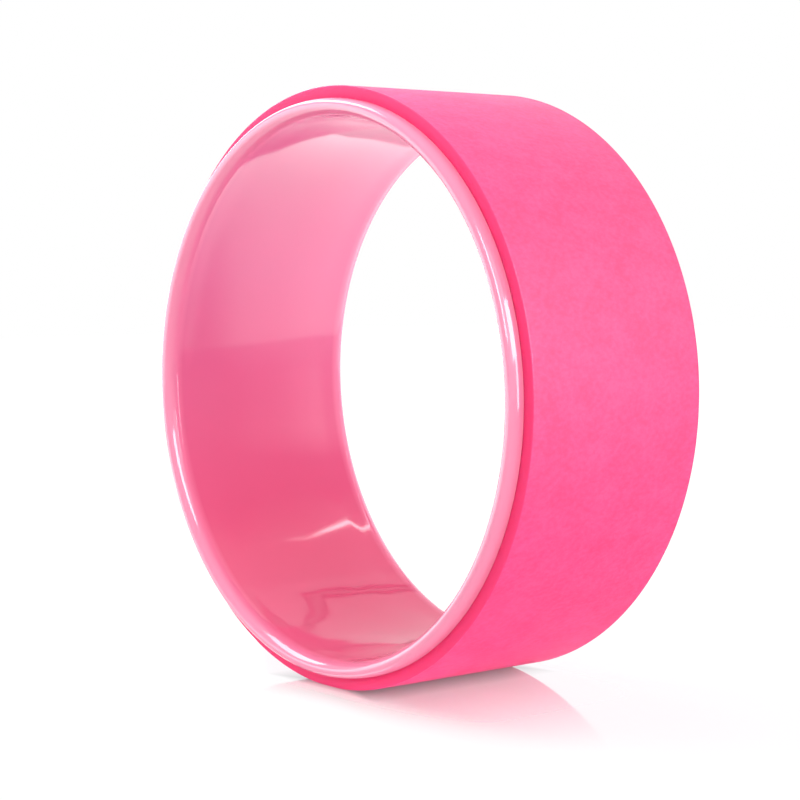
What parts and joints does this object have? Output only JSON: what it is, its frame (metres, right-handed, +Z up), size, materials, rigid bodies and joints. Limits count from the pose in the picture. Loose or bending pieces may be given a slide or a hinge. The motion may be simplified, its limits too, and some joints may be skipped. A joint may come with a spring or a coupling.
{
  "type": "yoga wheel",
  "caption": "Yoga wheel: a wide hard plastic ring, open through the middle, with rounded rims and a matt foam tread bonded round its outside.",
  "frame": {"origin": "on the floor, in the middle of the tread's contact flat, straight below the wheel's centre", "axes": "+Y along the wheel's axle line from one open end to the other, +Z up, +X to the right when seen along +Y; the wheel rolls along X"},
  "size_m": [0.32, 0.13, 0.3195],
  "materials": {
    "ring_plastic": "pale pink moulded ABS with a polished face",
    "tread_foam": "hot pink closed-cell TPE foam with a matt, finely mottled skin",
    "film_adhesive": "milky double-sided adhesive film"
  },
  "bodies": {
    "root": {"moulded_ring": "ring_plastic", "foam_tread": "tread_foam", "adhesive_film": "film_adhesive"}
  },
  "joints": []
}
